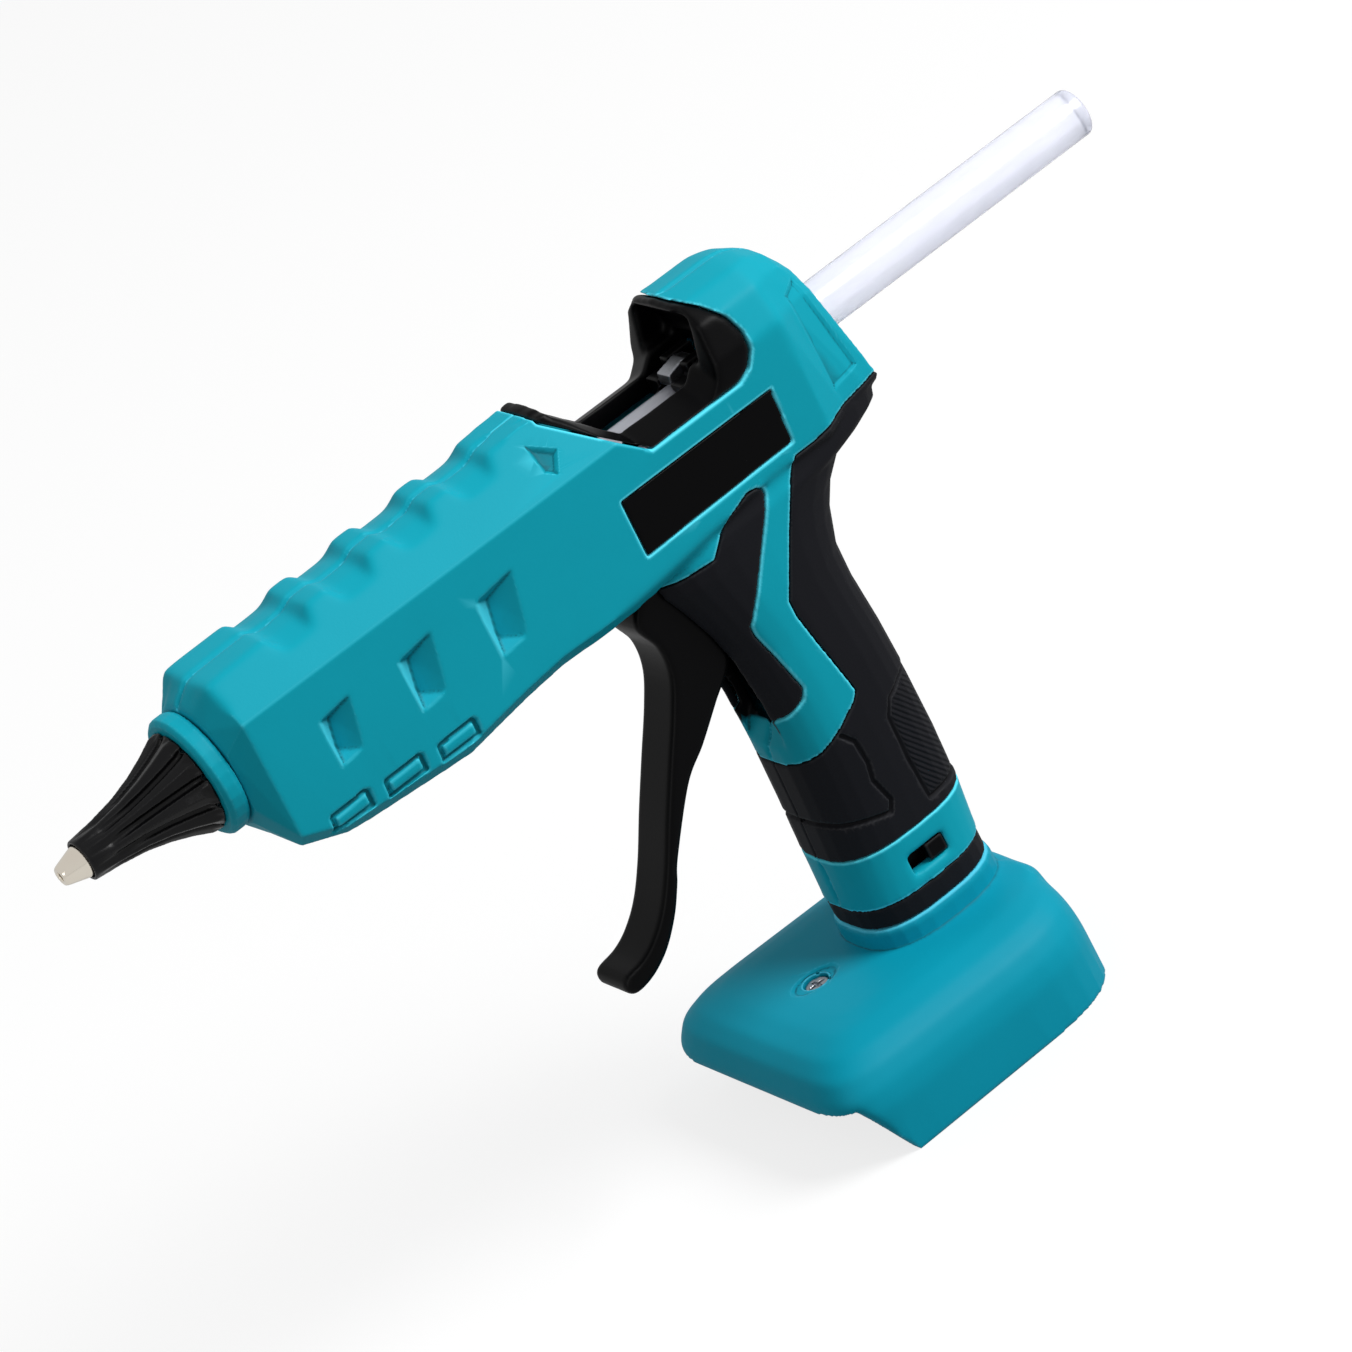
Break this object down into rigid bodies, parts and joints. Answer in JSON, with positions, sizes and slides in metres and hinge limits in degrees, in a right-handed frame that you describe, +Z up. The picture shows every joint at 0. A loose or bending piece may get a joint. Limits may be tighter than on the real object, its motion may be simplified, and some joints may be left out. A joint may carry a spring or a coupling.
{
  "type": "glue gun",
  "caption": "Cordless hot glue gun: faceted barrel with fluted nozzle boot, top window, long curled trigger, pistol grip and slide-on battery base, loaded with a clear stick.",
  "frame": {"origin": "centre of the bounding box's footprint, on the ground under the base", "axes": "+X from the nozzle to the tail, +Y to the gun's right side, +Z up; the barrel axis is level"},
  "size_m": [0.2774, 0.076, 0.1755],
  "materials": {
    "teal_shell": "fine moulded texture, teal",
    "teal_base": "fine moulded texture, teal",
    "black_grip": "soft overmould, black",
    "black_plastic": "satin moulded plastic, black",
    "gloss_plate": "smooth black plate with a thin light line",
    "silicone_boot": "matt silicone, black",
    "heat_silicone": "matt silicone, rust red",
    "brass": "turned",
    "aluminium": "cast",
    "steel": "zinc plated",
    "ceramic": "ceramic, off-white",
    "board": "coated circuit board, green",
    "red_lead": "insulated wire, red",
    "black_lead": "insulated wire, black",
    "clear_glue": "milky clear hot-melt glue"
  },
  "bodies": {
    "housing": {"left_housing": "teal_shell", "right_housing": "teal_shell", "nose_ring": "teal_shell", "nozzle_boot": "silicone_boot", "nozzle_tip": "brass", "melt_chamber": "aluminium", "heater_block": "ceramic", "heater_clip": "steel", "inlet_sleeve": "heat_silicone", "return_spring": "steel", "rear_bushing": "black_plastic", "window_bezel": "black_plastic", "trigger_pin": "steel", "control_board": "board", "switch_body": "black_plastic", "neck_band": "black_grip", "battery_shoe": "teal_base", "rail_frame": "black_plastic", "terminal_block": "black_plastic", "shoe_screw": "steel", "nose_screw": "steel", "barrel_screw": "steel", "tail_screw": "steel", "grip_screw": "steel", "collar_screw": "steel", "left_grip_insert": "black_grip", "left_rear_grip": "black_grip", "left_badge": "gloss_plate", "left_heater_lead": "red_lead", "left_terminal_blade": "brass", "right_grip_insert": "black_grip", "right_rear_grip": "black_grip", "right_badge": "gloss_plate", "right_heater_lead": "black_lead", "right_terminal_blade": "brass"},
    "trigger": {"trigger": "black_plastic"},
    "carriage": {"feed_carriage": "black_plastic", "gripper_pin": "steel"},
    "pawl": {"gripper_pawl": "steel"},
    "stick": {"glue_stick": "clear_glue"},
    "slider": {"power_slider": "black_plastic"}
  },
  "joints": [
    {"name": "trigger_squeeze", "type": "hinge", "parent": "housing", "child": "trigger", "pos_m": [0.0089, 0, 0.1285], "axis": [0, -1, 0], "range_deg": [0, 22], "stiffness_Nm_per_rad": 0.22, "springref_deg": -20.05},
    {"name": "carriage_feed", "type": "slide", "parent": "housing", "child": "carriage", "axis": [-1, 0, 0], "range_m": [0, 0.0079], "deforming": ["return_spring"]},
    {"name": "gripper_lift", "type": "hinge", "parent": "carriage", "child": "pawl", "pos_m": [0.0321, 0, 0.1597], "axis": [0, 1, 0], "range_deg": [0, 10], "stiffness_Nm_per_rad": 0.004, "springref_deg": -17.19},
    {"name": "stick_feed", "type": "slide", "parent": "carriage", "child": "stick", "axis": [-1, 0, 0], "range_m": [-0.1, 0.012]},
    {"name": "power_switch", "type": "slide", "parent": "housing", "child": "slider", "axis": [-1, 0, 0], "range_m": [0, 0.0045]}
  ],
  "couplings": [
    {"joint": "carriage_feed", "follows": "trigger_squeeze", "m_per_rad": 0.020249}
  ]
}
